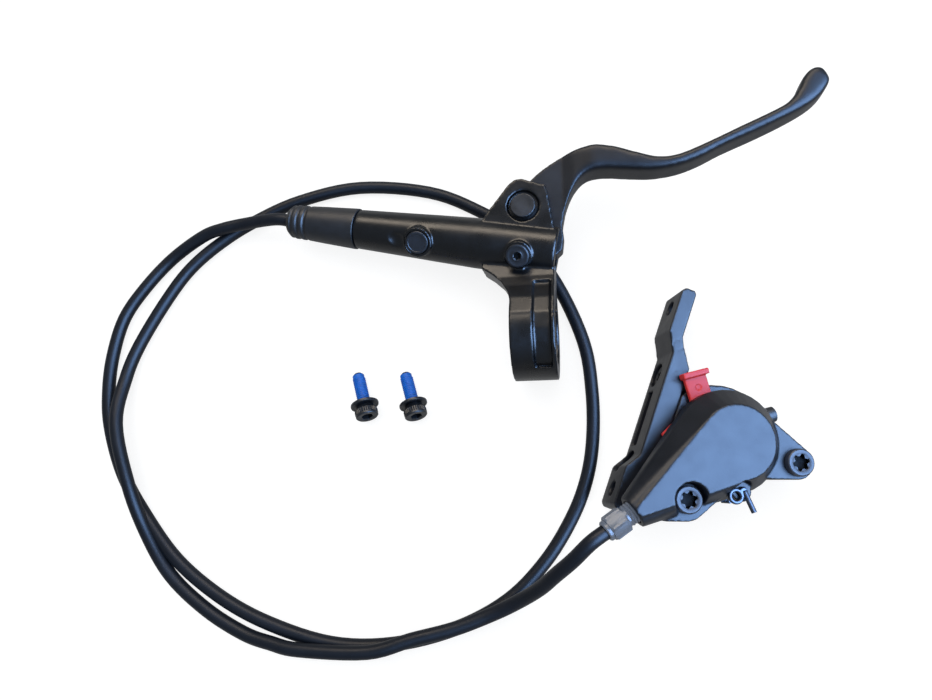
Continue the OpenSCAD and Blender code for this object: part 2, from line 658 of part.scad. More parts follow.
module caliper_outer() {
    color("#3b4352") difference() {
        at_head() {
            // Drum over the piston, its flank running out to the hose port
            hull() {
                cylinder(r = drum_r, h = 7, $fn = soft);
                translate([face_at.x, face_at.y, outer_h - 1.1])
                    cylinder(r = face_r, h = 1, $fn = soft);
                translate([port_x, port_y, port_z]) rotate([0, 90, port_angle])
                    cylinder(r = port_r, h = 2, $fn = soft);
            }
            // Flat face: round over the piston, straight along the bolts, narrow at the port
            hull() {
                translate([face_at.x, face_at.y, outer_h - face_h])
                    cylinder(r = face_r, h = face_h, $fn = soft);
                translate([-16, -10.6, outer_h - face_h]) cylinder(r = 2.2, h = face_h, $fn = soft);
                translate([port_x + 1.8, port_y + 0.4, outer_h - 2]) cylinder(r = 2, h = 2, $fn = soft);
            }
            lobe(-1, 0, ledge_h);
            lobe(1, 0, ledge_h);
            axle_lug(pocket_h, ledge_h - pocket_h);
        }
        at_head() {
            translate([0, 0, -1]) cylinder(r = wheel_piston_r, h = outer_bore + 1);
            translate([0, 0, seal_at(1)]) ring(wheel_piston_r - 1, wheel_piston_r + 1.2, seal_w);
            rotor_room();
            pad_room(1);
            for (side = [-1, 1]) translate([bolt_at(side).x, bolt_at(side).y, -1]) {
                cylinder(r = 2.6, h = 20);
                translate([0, 0, ledge_h + 1]) cylinder(r = bolt_head_r + 1, h = 10);
            }
            translate([axle_x, axle_y, -1]) cylinder(r = axle_r + 0.1, h = 14);
            translate([axle_x, axle_y, ledge_h]) cylinder(r = 3.6, h = 8);
            translate([axle_x + eye_at.x, axle_y + eye_at.y, ledge_h]) cylinder(r = 3, h = 8);
            passage_seat();
        }
        at_hose_port() translate([0, 0, -6 - olive_l]) cylinder(r = thread_r + thread_gap, h = 20);
        at_hose_port() translate([0, 0, -16]) cylinder(r = 1.2, h = 14);
        place_caliper() translate([-20, -60, -20]) cube([bridge_t + 20, 120, plate_w/2 + 20.3]);
    }
}

// Ear for the pad axle
module axle_lug(low, h) {
    translate([axle_x, axle_y, low]) cylinder(r = 3.3, h = h);
    translate([axle_x - 3.3, axle_y, low]) cube([6.6, 6, h]);
}

// Seat of the seal round the oil passage between the halves
module passage_seat() {
    translate([passage_x, passage_y, -0.36]) cylinder(r = 2.65, h = 0.72);
    translate([passage_x, passage_y, -5]) cylinder(r = 1.1, h = 10);
}

// Room for the rotor in either half
module rotor_room() {
    translate([0, rotor_y, -rotor_slot]) cylinder(r = rotor_r, h = 2*rotor_slot, $fn = 96);
}

// Window for the pads, open at the rotor's slot and behind, between the bolts
module pad_room(side) {
    mirror([0, 0, side < 0 ? 1 : 0]) {
        translate([-pocket_w/2, -24, -eps]) cube([pocket_w, 35, pocket_h]);
        translate([-pocket_w/2, -30, -1]) cube([pocket_w, 14, rotor_slot + 1]);
    }
}

module caliper_inner() {
    color("#343b49") difference() {
        union() {
            at_head() {
                hull() {
                    translate([0, 0, -7]) cylinder(r = drum_r + 2.8, h = 7, $fn = soft);
                    translate([0, 0, -inner_h]) cylinder(r = face_r + 1, h = 1, $fn = soft);
                }
                lobe(-1, -ledge_h + 1, 0);
                lobe(1, -ledge_h + 1, 0);
                axle_lug(-ledge_h + 1, ledge_h - pocket_h - 1);
                at_nipple() cylinder(r = 4.2, h = nipple_l);
            }
            // Feet that bolt to the adapter plate
            place_caliper() for (side = [-1, 1]) hull() {
                translate([bridge_t, lug_mid + side*caliper_spacing/2, lug_z]) rotate([0, 90, 0])
                    cylinder(r = lug_r, h = 6, $fn = soft);
                translate([head_x - 4, head_y + side*7, head_z - 12]) cylinder(r = 9, h = 8, $fn = soft);
            }
        }
        at_head() {
            translate([0, 0, -inner_bore]) cylinder(r = wheel_piston_r, h = 20);
            translate([0, 0, -seal_at(-1) - seal_w])
                ring(wheel_piston_r - 1, wheel_piston_r + 1.2, seal_w);
            rotor_room();
            pad_room(-1);
            for (side = [-1, 1]) translate([bolt_at(side).x, bolt_at(side).y, -ledge_h + 2])
                cylinder(r = 2.6, h = 20);
            translate([axle_x, axle_y, -12]) cylinder(r = axle_r + 0.1, h = 12);
            translate([axle_x, axle_y, -ledge_h - 5]) cylinder(r = 3, h = 6);
            at_nipple() cylinder(r = 2.6, h = 20);
            at_nipple() translate([0, 0, -4]) cylinder(r = 0.8, h = 5);
            passage_seat();
            // Nothing of the feet rises into the outer half
            translate([-60, -60, 0]) cube([120, 120, 10]);
        }
        place_caliper() translate([-20, -60, -20]) cube([bridge_t + 20, 120, 60]);
        place_caliper() for (side = [-1, 1])
            translate([bridge_t - 1, lug_mid + side*caliper_spacing/2, lug_z])
                rotate([0, 90, 0]) cylinder(r = 2.6, h = 13);
        // Way for the lower fork bolt and its key
        place_caliper() translate([plate_t, -fork_spacing/2, 0]) rotate([0, 90, 0])
            cylinder(r = 4.6, h = 60);
    }
}

// Bleed port of the inner half, z out of the port
module at_nipple() {
    translate([13, 4.4, -7.4]) rotate([0, 90, 0]) children();
}

module body_bolt(side) {
    color("#4a566e") at_head() translate([bolt_at(side).x, bolt_at(side).y, ledge_h]) difference() {
        union() {
            translate([0, 0, 5.2 - 2*ledge_h]) cylinder(r = 2.5, h = 2*ledge_h - 5.2 + eps);
            cylinder(r = bolt_head_r, h = 2.6);
        }
        translate([0, 0, 0.8]) star_socket(2.8, 4);
    }
}

module body_bolt_front() { body_bolt(-1); }
module body_bolt_rear() { body_bolt(1); }

module passage_o_ring() {
    color("#0e0e0e") at_head() translate([passage_x, passage_y, -0.35]) ring(1.4, 2.6, 0.7);
}

function bore_of(side) = side > 0 ? outer_bore - 0.6 : inner_bore;
function seal_at(side) = bore_of(side) - seal_back - 0.2;

module wheel_piston(side) {
    piston_h = bore_of(side) - 0.2 - piston_from;
    color("#d8d3c6") at_head() mirror([0, 0, side < 0 ? 1 : 0]) difference() {
        translate([0, 0, piston_from]) cylinder(r = wheel_piston_r - run_gap, h = piston_h);
        translate([0, 0, piston_from - 1]) cylinder(r = wheel_piston_r - 3, h = piston_h - 1);
    }
}

module outer_piston() { wheel_piston(1); }
module inner_piston() { wheel_piston(-1); }

module wheel_seal(side) {
    color("#141414") at_head() mirror([0, 0, side < 0 ? 1 : 0]) translate([0, 0, seal_at(side)])
        ring(wheel_piston_r + 0.02, wheel_piston_r + 1.2, seal_w);
}

module outer_piston_seal() { wheel_seal(1); }
module inner_piston_seal() { wheel_seal(-1); }

pad_outline = [[-12.4, -7.6], [-10.6, -9.6], [axle_x - 4.6, -9.8], [axle_x - 3, -12.6],
    [axle_x - 2.8, axle_y - 2.4], [axle_x + 2.8, axle_y - 2.4], [axle_x + 3, -12.6],
    [axle_x + 4.6, -9.8], [10.6, -9.6], [12.4, -7.6], [12.4, 7], [9.4, 9.4], [-9.4, 9.4], [-12.4, 7]];

module pad_plate(side) {
    color("#8f949c") at_head() mirror([0, 0, side < 0 ? 1 : 0]) difference() {
        translate([0, 0, plate_from]) linear_extrude(pad_plate_t) polygon(pad_outline);
        translate([axle_x, axle_y, 0]) cylinder(r = axle_r + 0.15, h = 20);
    }
}

module outer_pad_plate() { pad_plate(1); }
module inner_pad_plate() { pad_plate(-1); }

module pad_lining(side) {
    color("#5b5148") at_head() mirror([0, 0, side < 0 ? 1 : 0])
        translate([0, 0, lining_from]) linear_extrude(pad_lining_t)
            polygon([[-11.4, -7.4], [-9.6, -8.8], [9.6, -8.8], [11.4, -7.4],
                [11.4, 6.4], [8.8, 8.4], [-8.8, 8.4], [-11.4, 6.4]]);
}

module outer_pad_lining() { pad_lining(1); }
module inner_pad_lining() { pad_lining(-1); }

// Sheet spring that spreads the two pads' lower tabs
module pad_spring() {
    color("#b4b8be") at_head() difference() {
        union() {
            for (side = [-1, 1]) translate([axle_x - 2.2, axle_y - 3.2, side*(spring_z - 0.15) - 0.15])
                cube([4.4, 7.2, 0.3]);
            translate([axle_x - 2.2, axle_y - 3.6, -spring_z]) cube([4.4, 0.4, 2*spring_z]);
        }
        translate([axle_x, axle_y, -10]) cylinder(r = axle_r + 0.1, h = 20);
    }
}

// Split pin through both halves and both pads: its eye lies flat, one leg is bent away
module pad_axle() {
    color("#b4b8be") at_head() translate([axle_x, axle_y, 0]) {
        translate([0, 0, -ledge_h]) cylinder(r = axle_r, h = 2*ledge_h + 1.6);
        translate([0, 0, -ledge_h - 1]) cylinder(r = 2.2, h = 1.8);
        translate([0.3, 0, ledge_h + 1.1]) rotate([76, 0, 2]) cylinder(r = 0.9, h = 7.2, $fn = 16);
        translate([eye_at.x, eye_at.y, ledge_h + 1]) o_ring(2, 0.7);
    }
}

// Red transport spacer in the rotor's slot, with its pull tab
spacer_outline = [[-17.6, -4], [-12, -8], [10, -8], [12, -5], [12, 8], [9, 10.6], [2.2, 12.4],
    [2.2, 24.4], [-5.8, 24.4], [-5.8, 13.6], [-12.4, 11.6], [-19, 8]];
tab_bar = [9.4, 2, 4.4];

module pad_spacer() {
    color("#e0383c") at_head() difference() {
        union() {
            translate([0, 0, -spacer_half]) linear_extrude(2*spacer_half) polygon(spacer_outline);
            translate([-6.4, 24, 0.6 - tab_bar.z/2]) cube(tab_bar);
        }
        translate([-1.8, 20.2, spacer_half - 0.3]) cylinder(r = 1.2, h = 2);
    }
}

// Side view of the adapter plate, extruded across its width
module adapter_plate() {
    end_y2 = fork_spacing/2 + 6.6;
    color("#2b3140") place_caliper() difference() {
        translate([0, 0, -plate_w/2]) linear_extrude(plate_w)
            polygon([[1.2, -end_y2], [0, -end_y2 + 1.4], [0, -27], [relief, -21.4],
                [relief, 17], [0, 24.5], [0, end_y2 - 1.4], [1.2, end_y2],
                [plate_t - 1, end_y2], [plate_t, end_y2 - 1], [plate_t, 23.4],
                [plate_t + 1.4, 20.4], [bridge_t, 13.4], [bridge_t, -28.4],
                [plate_t, -31], [plate_t, -end_y2 + 1], [plate_t - 1, -end_y2]]);
        for (side = [-1, 1]) translate([-1, side*fork_spacing/2, 0]) rotate([0, 90, 0])
            cylinder(r = 2.75, h = 20);
        for (side = [-1, 1]) translate([0, lug_mid + side*caliper_spacing/2, lug_z])
            rotate([0, 90, 0]) {
                cylinder(r = 2.75, h = 20);
                cylinder(r = 4.5, h = relief + 4);
            }
        translate([relief - 1, lug_mid - 10.4, lug_z - 2.5]) cube([5, 20.8, 5]);
        // Round foundry marks, left blank
        for (at = mark_at) translate([at.x, at.y, plate_w/2 - 0.25]) ring(1.7, 2.15, 1);
    }
}

module adapter_bolt(side) {
    color("#22242a") place_caliper() translate([relief + 4, lug_mid + side*caliper_spacing/2, lug_z])
        rotate([0, -90, 0]) socket_bolt(2.5, 13.4, 4.2, 2.8, 4);
}

module adapter_bolt_upper() { adapter_bolt(1); }
module adapter_bolt_lower() { adapter_bolt(-1); }

module bleed_nipple() {
    color("#b9bcc2") at_head() at_nipple() {
        cylinder(r = 2.5, h = nipple_l + eps);
        translate([0, 0, nipple_l]) hexagon(6, 2);
        translate([0, 0, nipple_l]) cylinder(r = 1.9, h = 4.2);
    }
}

module nipple_cap() {
    color("#1a1a1c") at_head() at_nipple() translate([0, 0, nipple_l + 2.05]) difference() {
        cylinder(r = 2.8, h = 3);
        translate([0, 0, -1]) cylinder(r = 1.9, h = 3.2);
    }
}

// Mounting bolts and washers, shown taken off and lying on the table
module at_loose(at) {
    sink = asin((washer_r - mount_bolt_r)/mount_bolt_l);
    translate(at) rotate([0, 0, 17]) translate([0, 0, mount_bolt_r]) rotate([-90 - sink, 0, 0])
        children();
}

module mounting_bolt(at) {
    color("#1f78d8") at_loose(at) translate([0, 0, -mount_bolt_l]) rotate([0, 180, 0])
        translate([0, 0, 1.2]) socket_bolt(mount_bolt_r, mount_bolt_l + 1.2, 4.3, 4.6, 4);
}

module mounting_washer(at) {
    color("#222429") at_loose(at) translate([0, 0, -mount_bolt_l - 1.2])
        ring(mount_bolt_r + 0.05, washer_r, 1.2);
}

loose_a = [-74, -19.3, 0];
loose_b = [-55.2, -19.4, 0];
module mounting_bolt_a() { mounting_bolt(loose_a); }
module mounting_bolt_b() { mounting_bolt(loose_b); }
module mounting_washer_a() { mounting_washer(loose_a); }
module mounting_washer_b() { mounting_washer(loose_b); }

lever_body();
brake_lever();
pivot_pin();
pivot_bushes();
pivot_clip();
master_piston();
push_rod();
primary_seal();
secondary_seal();
return_spring();
retaining_ring();
bleed_screw();
bleed_o_ring();
reservoir_plug();
plug_seal();
clamp_bolt();
hose_boot();
lever_hose_nut();
lever_olive();
lever_barb();
hose();
caliper_hose_nut();
caliper_olive();
caliper_barb();
caliper_outer();
caliper_inner();
body_bolt_front();
body_bolt_rear();
passage_o_ring();
outer_piston();
inner_piston();
outer_piston_seal();
inner_piston_seal();
outer_pad_plate();
outer_pad_lining();
inner_pad_plate();
inner_pad_lining();
pad_spring();
pad_axle();
pad_spacer();
adapter_plate();
adapter_bolt_upper();
adapter_bolt_lower();
bleed_nipple();
nipple_cap();
mounting_bolt_a();
mounting_bolt_b();
mounting_washer_a();
mounting_washer_b();
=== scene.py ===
# A hydraulic disc brake laid out on a white table: lever, hose, caliper, loose bolts.
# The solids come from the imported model; this script gives them their cast skins,
# small fittings and finishes.
import math

import bmesh
import bpy
from mathutils import Matrix, Vector


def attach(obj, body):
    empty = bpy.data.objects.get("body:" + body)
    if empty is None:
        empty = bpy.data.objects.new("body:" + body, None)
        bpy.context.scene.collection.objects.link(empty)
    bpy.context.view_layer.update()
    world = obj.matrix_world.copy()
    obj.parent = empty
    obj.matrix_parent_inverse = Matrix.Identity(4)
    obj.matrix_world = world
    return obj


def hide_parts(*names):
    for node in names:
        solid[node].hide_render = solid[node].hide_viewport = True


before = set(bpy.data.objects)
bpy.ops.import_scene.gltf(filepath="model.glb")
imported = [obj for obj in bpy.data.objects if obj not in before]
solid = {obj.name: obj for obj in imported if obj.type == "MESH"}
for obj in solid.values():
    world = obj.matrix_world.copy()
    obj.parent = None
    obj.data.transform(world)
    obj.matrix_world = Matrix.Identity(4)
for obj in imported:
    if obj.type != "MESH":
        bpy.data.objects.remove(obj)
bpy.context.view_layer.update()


# Sizes are written in millimetres and points become metres here
def mm(*numbers):
    return Vector([number / 1000 for number in numbers])


def link(thing):
    bpy.context.scene.collection.objects.link(thing)
    return thing


# Camera: above the table, tipped towards the bottom and the right of the picture.
# The focal length is in pixels of a picture that is IMAGE_WIDTH wide, and the tips are
# in degrees from straight down.
IMAGE_WIDTH = 932
FOCAL_LENGTH = 704
CAMERA_AT = mm(-6.7, -76.8, 267.5)
TIP_SIDEWAYS = 5.5
TIP_DOWN = 14


def place_camera():
    down = Vector((math.tan(math.radians(TIP_SIDEWAYS)), math.tan(math.radians(TIP_DOWN)), 1))
    down.normalize()
    up = -down
    right = (Vector((1, 0, 0)) - Vector((1, 0, 0)).dot(up) * up).normalized()
    far = up.cross(right)
    lens_x = Vector((right.x, far.x, up.x))
    lens_y = -Vector((right.y, far.y, up.y))
    lens_z = -Vector((right.z, far.z, up.z))
    data = bpy.data.cameras.new("table_camera")
    data.sensor_width = 36
    data.lens = FOCAL_LENGTH / IMAGE_WIDTH * 36
    data.clip_start = 0.01
    camera = link(bpy.data.objects.new("table_camera", data))
    turn = Matrix((lens_x, lens_y, lens_z)).transposed().to_4x4()
    camera.matrix_world = Matrix.Translation(CAMERA_AT) @ turn
    bpy.context.scene.camera = camera


place_camera()


# Frames of the lever and the caliper, as in the part's source
def turned(axis, degrees):
    return Matrix.Rotation(math.radians(degrees), 4, axis)


BAR = Matrix.Translation(mm(-5, -9.3, 17.222)) @ turned("Y", -5) @ turned("X", 5)
BORE = BAR @ Matrix.Translation(mm(9.6, 30.8, 0)) @ turned("Z", -11)
PLATE = Matrix.Translation(mm(33.3, -31.2, 11.1)) @ turned("Z", -20.5) @ turned("Y", 10)
HEAD = PLATE @ Matrix.Translation(mm(28, -8, 10.4)) @ turned("Z", 35)
BOOT_END = BORE @ mm(-107.5, 0, 0)

# The caliper's hose port: where its face is, which way the nut points, how far the nut stands out
PORT_ANGLE = math.radians(20)
PORT_FACE = mm(-39.7, -13.4, 10.1)
NUT_OUT = Vector((-math.cos(PORT_ANGLE), -math.sin(PORT_ANGLE), 0))
NUT_LENGTH = 10.9 / 1000
NUT_END = HEAD @ (PORT_FACE + NUT_LENGTH * NUT_OUT)

# Hose: the route of the part's source, from the boot to the caliper's nut
HOSE_DIAMETER = 5 / 1000
ROUTE = [
    (-121.7, 43.7, 8.6), (-132.2, 42.2, 7.6), (-141.2, 39.7, 6), (-155.2, 31.7, 2.5),
    (-165.7, 19.2, 2.5), (-173.2, 6.2, 2.5), (-176.2, -9.3, 2.5), (-176.2, -23.8, 2.5),
    (-173.7, -38.3, 2.5), (-166.2, -56.8, 2.5), (-155.2, -72.8, 2.5), (-140.7, -89.3, 2.5),
    (-122.7, -102.3, 2.5), (-103.7, -111.3, 2.5), (-80.2, -117.8, 2.5), (-57.7, -117.8, 2.5),
    (-35.2, -112.3, 2.5), (-16.7, -102.8, 2.5), (-3.2, -89.8, 2.5), (6.8, -74.8, 2.5),
    (12.8, -60.8, 2.5), (15.8, -45.8, 2.5), (16.3, -27.3, 2.5), (13.8, -7.8, 2.5),
    (4.3, 15.7, 2.5), (-9.2, 35.7, 2.5), (-25.7, 47.7, 2.5), (-46.7, 57.2, 2.5),
    (-76.2, 60.7, 2.5), (-101.7, 55.7, 2.5), (-120.7, 47.2, 2.5), (-134.7, 38.2, 2.5),
    (-146.7, 27.2, 2.5), (-155.7, 13.7, 2.5), (-165.2, -5.3, 2.6), (-168.7, -19.8, 4),
    (-168.2, -38.3, 7.8), (-160.7, -61.3, 7.4), (-153.2, -79.3, 4), (-142.7, -94.8, 2.5),
    (-127.7, -106.8, 2.5), (-112.7, -114.8, 2.8), (-101.7, -117.8, 4.4), (-90.7, -119.6, 6.2),
    (-65.7, -119.8, 7.7), (-50, -115.5, 7.8), (-35, -111.7, 7.8), (-21, -106.3, 9),
    (-12, -101.7, 13.2), (-5, -97.1, 19.4), (0, -92.6, 24.6), (5.5, -87.8, 29.2)]


# A curve through all the points, with the stated number of steps between two of them
def smooth_line(points, steps):
    line = []
    last = len(points) - 1
    for i in range(last):
        before = points[max(0, i - 1)]
        after = points[min(last, i + 2)]
        here, there = points[i], points[i + 1]
        for k in range(steps):
            t = k / steps
            line.append(0.5 * (2 * here + (there - before) * t
                               + (2 * before - 5 * here + 4 * there - after) * t * t
                               + (3 * here - before - 3 * there + after) * t * t * t))
    line.append(points[last])
    return line


# The radius is given at each point, so that the curve's own box fits the hose
def make_hose():
    out_of_boot = (BORE.to_3x3() @ Vector((-1, 0, 0))).normalized()
    out_of_nut = (HEAD.to_3x3() @ NUT_OUT).normalized()
    points = [BOOT_END, BOOT_END + 0.007 * out_of_boot]
    points += [mm(*point) for point in ROUTE]
    points += [NUT_END + 0.006 * out_of_nut, NUT_END]
    line = smooth_line(points, 6)
    curve = bpy.data.curves.new("brake_hose", "CURVE")
    curve.dimensions = "3D"
    curve.bevel_depth = 1
    curve.bevel_resolution = 7
    curve.use_fill_caps = True
    spline = curve.splines.new("POLY")
    spline.points.add(len(line) - 1)
    for place, point in zip(spline.points, line):
        place.co = (*point, 1)
        place.radius = HOSE_DIAMETER / 2
    spline.use_smooth = True
    piece = link(bpy.data.objects.new("brake_hose", curve))
    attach(piece, "brake")
    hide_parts("hose")
    return piece


brake_hose = make_hose()


# Colours are sRGB hex values, turned to Blender's linear ones
def linear(colour):
    channels = []
    for i in (1, 3, 5):
        value = int(colour[i:i + 2], 16) / 255
        channels.append(value / 12.92 if value <= 0.04045 else ((value + 0.055) / 1.055) ** 2.4)
    return (*channels, 1)


# Adds one node to a material; a link is given as "socket": (node, "its output")
def add(tree, kind, settings=None, **sockets):
    made = tree.nodes.new(kind)
    for name, value in (settings or {}).items():
        setattr(made, name, value)
    for name, value in sockets.items():
        socket = made.inputs[name.replace("_", " ")]
        if isinstance(value, tuple) and len(value) == 2 and hasattr(value[0], "outputs"):
            tree.links.new(value[0].outputs[value[1]], socket)
        else:
            socket.default_value = value
    return made


# The slots of a colour Mix node, which share their names with its number slots
MIX_A = 6
MIX_B = 7
MIX_RESULT = 2


# Grain on a surface: patches that change its roughness and colour, and a fine bump.
# The scales are per metre, so 1500 is a grain of about 0.7 mm.
def add_grain(tree, shader, colours, rough, patch_scale, bump_scale, bump_mm):
    where = add(tree, "ShaderNodeTexCoord")
    patch = add(tree, "ShaderNodeTexNoise", Scale=patch_scale, Detail=4.0, Roughness=0.6,
                Vector=(where, "Object"))
    tone = add(tree, "ShaderNodeMix", {"data_type": "RGBA"})
    tree.links.new(patch.outputs["Fac"], tone.inputs["Factor"])
    tone.inputs[MIX_A].default_value = linear(colours[0])
    tone.inputs[MIX_B].default_value = linear(colours[1])
    tree.links.new(tone.outputs[MIX_RESULT], shader.inputs["Base Color"])
    gloss = add(tree, "ShaderNodeMapRange", Value=(patch, "Fac"))
    gloss.inputs["From Min"].default_value = 0.3
    gloss.inputs["From Max"].default_value = 0.7
    gloss.inputs["To Min"].default_value = rough[0]
    gloss.inputs["To Max"].default_value = rough[1]
    tree.links.new(gloss.outputs["Result"], shader.inputs["Roughness"])
    grain = add(tree, "ShaderNodeTexNoise", Scale=bump_scale, Detail=3.0, Roughness=0.55,
                Vector=(where, "Object"))
    bump = add(tree, "ShaderNodeBump", Height=(grain, "Fac"), Strength=1.0,
               Distance=bump_mm / 1000)
    tree.links.new(bump.outputs["Normal"], shader.inputs["Normal"])


# A finish is its plain colour and roughness, then its grain as add_grain takes it: two
# colours, two roughnesses, the patches' scale, the bump's scale and its height in millimetres
def finish_of(name, colour, roughness, grain, specular=0.5, metallic=0.0):
    material = bpy.data.materials.new(name)
    material.use_nodes = True
    shader = material.node_tree.nodes["Principled BSDF"]
    shader.inputs["Base Color"].default_value = linear(colour)
    shader.inputs["Roughness"].default_value = roughness
    shader.inputs["Metallic"].default_value = metallic
    shader.inputs["Specular IOR Level"].default_value = specular
    add_grain(material.node_tree, shader, *grain)
    return material


# Bare or plated metal: two tones of one colour, clear of any coating
def plain_metal(name, dark, light, rough):
    grain = ((dark, light), rough, 300, 1800, 0.01)
    return finish_of(name, light, rough[0], grain, metallic=1.0)


# Gloss black enamel on the forged lever housing: clear reflections, faint orange peel
ENAMEL = finish_of("black_enamel", "#08090b", 0.3,
                   (("#07080a", "#0e1014"), (0.24, 0.36), 120, 900, 0.015), 0.4)
# Black anodised aluminium of the blade: fine blasted grain, softer sheen than paint
ANODISED = finish_of("black_anodised", "#0e1118", 0.42,
                     (("#0b0e14", "#13171f"), (0.36, 0.46), 90, 2600, 0.012), 0.3)
# Satin black paint of the caliper castings: slight cast texture under the paint
CASTING = finish_of("satin_black_paint", "#0d1017", 0.42,
                    (("#0a0d13", "#121722"), (0.38, 0.46), 150, 1500, 0.015), 0.4)
# Extruded polyamide jacket of the hose: smooth, half matt
JACKET = finish_of("hose_jacket", "#0f131b", 0.42,
                   (("#0c1017", "#141a25"), (0.38, 0.48), 60, 1200, 0.01), 0.24)
# Moulded rubber: dark, matt, fine skin
RUBBER = finish_of("moulded_rubber", "#121315", 0.5,
                   (("#0f1012", "#17181b"), (0.42, 0.55), 160, 2200, 0.015))
# Injection-moulded polypropylene of the spacer: bright red, waxy, a little light gets into it
RED = finish_of("red_polypropylene", "#f4403f", 0.5,
                (("#ee3938", "#fa4e4c"), (0.44, 0.56), 100, 1400, 0.02), 0.2)
red_shader = RED.node_tree.nodes["Principled BSDF"]
red_shader.inputs["Subsurface Weight"].default_value = 0.12
red_shader.inputs["Subsurface Radius"].default_value = (0.002, 0.0006, 0.0005)
# Black oxide on steel screws: thin, oily, dark grey
OXIDE = finish_of("black_oxide_steel", "#14161a", 0.38,
                  (("#101215", "#1b1e24"), (0.3, 0.44), 260, 2000, 0.01))
# Nickel plate on the hidden hose nut, the barbs and the bleed nipple: pale, clear reflections
NICKEL = plain_metal("nickel_plated_steel", "#8d9199", "#b4b8bf", (0.2, 0.32))
# Spring and stamped steel: darker grey, softly blurred reflections
STEEL = plain_metal("bright_steel", "#3f434a", "#5a5e66", (0.34, 0.46))
# Dark zinc-nickel on the caliper's body bolts: grey, half matt, faint brushing from the wash
GREY_ZINC = finish_of("dark_zinc_nickel", "#3a404d", 0.42,
                      (("#2b303b", "#3c4250"), (0.38, 0.5), 500, 2200, 0.012), 0.42)
# Plated steel of the hose nut: paler grey, turned then tumbled, so no mirror in it
NUT_STEEL = finish_of("tumbled_zinc_plate", "#6f7785", 0.36,
                      (("#626a78", "#7d8594"), (0.28, 0.42), 420, 1800, 0.012))
# Turned brass of the bushes and olives: warm yellow, bright from the tool
BRASS = plain_metal("turned_brass", "#b28a3f", "#d0aa5c", (0.22, 0.34))
# Gold anodised aluminium of the master piston: yellow, half gloss
GOLD = plain_metal("gold_anodised_aluminium", "#b08a45", "#c9a35a", (0.3, 0.4))
# Phenolic resin of the wheel pistons: warm ivory with fine filler specks
RESIN = finish_of("phenolic_resin", "#cfc8b6", 0.4,
                  (("#c3bba6", "#d6d0c0"), (0.34, 0.46), 700, 2600, 0.01))
# Pressed friction lining: brown-grey, rough, with metal chips of about half a millimetre
LINING = finish_of("pressed_lining", "#4b4038", 0.85,
                   (("#352c26", "#6d5c4c"), (0.75, 0.92), 2000, 2600, 0.08))
# Blue thread-locking patch on the loose bolts: a dry, slightly lumpy coat
BLUE = finish_of("blue_thread_lock", "#0a66d2", 0.5,
                 (("#0757b8", "#1579ea"), (0.42, 0.58), 500, 1500, 0.03), 0.25)
# Moulded acetal of the bleed screw and the plug: black, waxy, faintly blue
ACETAL = finish_of("black_acetal", "#10151f", 0.44,
                   (("#0d121a", "#171d2a"), (0.38, 0.5), 300, 1600, 0.01))
# Painted shade deep in a screw's recess, and the bare black of a blue bolt's tip: black, and too
# rough to shine
RECESS_SHADE_AND_BARE_TIP = finish_of("oily_recess", "#060708", 0.7,
                   (("#040506", "#0a0b0d"), (0.6, 0.8), 700, 2400, 0.01), 0.1)

FINISH = {
    ENAMEL: ["lever_body"],
    ANODISED: ["brake_lever"],
    CASTING: ["caliper_outer", "caliper_inner", "adapter_plate"],
    OXIDE: ["pivot_pin", "clamp_bolt", "adapter_bolt_upper", "adapter_bolt_lower",
            "mounting_bolt_a", "mounting_bolt_b", "mounting_washer_a", "mounting_washer_b"],
    ACETAL: ["bleed_screw", "reservoir_plug"],
    BRASS: ["pivot_bushes", "lever_olive", "caliper_olive"],
    STEEL: ["pivot_clip", "retaining_ring", "return_spring", "pad_spring", "pad_axle",
            "push_rod", "outer_pad_plate", "inner_pad_plate"],
    GOLD: ["master_piston"],
    RUBBER: ["primary_seal", "secondary_seal", "bleed_o_ring", "plug_seal", "passage_o_ring",
             "outer_piston_seal", "inner_piston_seal", "hose_boot", "nipple_cap"],
    NICKEL: ["lever_hose_nut", "bleed_nipple", "lever_barb", "caliper_barb"],
    NUT_STEEL: ["caliper_hose_nut"],
    GREY_ZINC: ["body_bolt_front", "body_bolt_rear"],
    RESIN: ["outer_piston", "inner_piston"],
    LINING: ["outer_pad_lining", "inner_pad_lining"],
    RED: ["pad_spacer"],
}
for finish, names in FINISH.items():
    for name in names:
        data = solid[name].data
        data.materials.clear()
        data.materials.append(finish)
brake_hose.data.materials.append(JACKET)


# Turns what the modifiers show into the object's own mesh
def settle(piece):
    bpy.context.view_layer.update()
    seen = piece.evaluated_get(bpy.context.evaluated_depsgraph_get())
    mesh = bpy.data.meshes.new_from_object(seen)
    piece.modifiers.clear()
    piece.data = mesh


# Corners of a solid's mesh that lie within this many metres are one corner
MERGE_DISTANCE = 1e-6


# A casting's skin: the solid with every edge rounded, as forged and blasted parts have.
# voxel is the grid of the skin in millimetres, rounds how often it is smoothed, and worn
# what round_over takes. The copied mesh is merged first, so that it is closed.
def cast_skin(name, body, finish, voxel, rounds, worn=None):
    mesh = solid[name].data.copy()
    work = bmesh.new()
    work.from_mesh(mesh)
    bmesh.ops.remove_doubles(work, verts=work.verts, dist=MERGE_DISTANCE)
    work.to_mesh(mesh)
    work.free()
    piece = link(bpy.data.objects.new(name + "_skin", mesh))
    remesh = piece.modifiers.new("skin", "REMESH")
    remesh.mode = "VOXEL"
    remesh.voxel_size = voxel / 1000
    remesh.use_smooth_shade = True
    soften = piece.modifiers.new("soften", "SMOOTH")
    soften.factor = 0.5
    soften.iterations = rounds
    settle(piece)
    if worn:
        round_over(piece, *worn)
    piece.data.materials.clear()
    piece.data.materials.append(finish)
    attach(piece, body)
    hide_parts(name)


